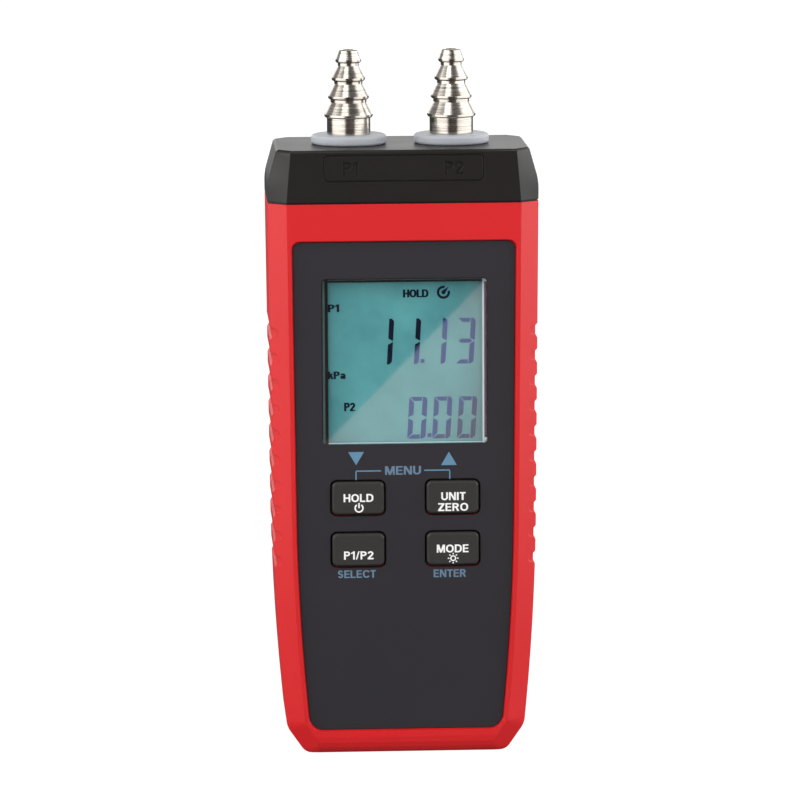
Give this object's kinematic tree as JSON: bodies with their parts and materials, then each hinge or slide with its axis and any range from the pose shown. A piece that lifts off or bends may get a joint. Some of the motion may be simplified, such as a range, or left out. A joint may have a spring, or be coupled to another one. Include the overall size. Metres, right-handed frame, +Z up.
{
  "type": "digital manometer",
  "caption": "Handheld digital manometer: tapered red case with dark cap and panel, display window, rubber keys and stepped hose barbs on top.",
  "frame": {"origin": "middle of the foot that it stands on", "axes": "+Z up through the hose ports, the display and keys face -Y, +X to the right as seen from the front"},
  "size_m": [0.065, 0.034, 0.1698],
  "materials": {
    "red_plastic": "fine moulded texture, satin",
    "black_plastic": "fine moulded texture, matte",
    "panel_film": "printed matte film",
    "clear_window": "clear polished acrylic",
    "display_glass": "liquid crystal glass with polariser",
    "holder_plastic": "moulded, matte",
    "light_guide": "white diffusing acrylic",
    "contact_rubber": "layered contact rubber",
    "key_rubber": "silicone rubber, satin",
    "board_laminate": "green solder mask",
    "chip_plastic": "moulded package",
    "port_metal": "turned and nickel plated",
    "washer_plastic": "milky translucent",
    "sensor_plastic": "moulded, ivory",
    "tube_silicone": "translucent silicone",
    "cell_jacket": "plain printed jacket",
    "spring_metal": "nickel plated strip",
    "screw_steel": "zinc plated",
    "door_plastic": "fine moulded texture, matte",
    "white_ink": "screen print",
    "blue_ink": "screen print",
    "display_ink": "dark display segments"
  },
  "bodies": {
    "housing": {"front_shell": "red_plastic", "rear_shell": "red_plastic", "top_cap": "black_plastic", "face_panel": "panel_film", "window_lens": "clear_window", "lcd_holder": "holder_plastic", "lcd_glass": "display_glass", "backlight": "light_guide", "contact_strip": "contact_rubber", "keypad_mat": "key_rubber", "circuit_board": "board_laminate", "board_chips": "chip_plastic", "buzzer": "chip_plastic", "hose_barb_1": "port_metal", "hose_barb_2": "port_metal", "port_washer_1": "washer_plastic", "port_washer_2": "washer_plastic", "port_nut_1": "port_metal", "port_nut_2": "port_metal", "pressure_sensor_1": "sensor_plastic", "pressure_sensor_2": "sensor_plastic", "sensor_tube_1": "tube_silicone", "sensor_tube_2": "tube_silicone", "battery_cell_1": "cell_jacket", "battery_cell_2": "cell_jacket", "battery_cell_3": "cell_jacket", "battery_contacts": "spring_metal", "battery_door": "door_plastic", "door_screw": "screw_steel", "housing_screws": "screw_steel", "board_screws": "screw_steel"},
    "hold_button": {"hold_key": "key_rubber"},
    "unit_button": {"unit_key": "key_rubber"},
    "select_button": {"select_key": "key_rubber"},
    "mode_button": {"mode_key": "key_rubber"}
  },
  "joints": [
    {"name": "hold_press", "type": "slide", "parent": "housing", "child": "hold_button", "axis": [0, 1, 0], "range_m": [0, 0.0008], "stiffness_N_per_m": 900},
    {"name": "unit_press", "type": "slide", "parent": "housing", "child": "unit_button", "axis": [0, 1, 0], "range_m": [0, 0.0008], "stiffness_N_per_m": 900},
    {"name": "select_press", "type": "slide", "parent": "housing", "child": "select_button", "axis": [0, 1, 0], "range_m": [0, 0.0008], "stiffness_N_per_m": 900},
    {"name": "mode_press", "type": "slide", "parent": "housing", "child": "mode_button", "axis": [0, 1, 0], "range_m": [0, 0.0008], "stiffness_N_per_m": 900}
  ]
}
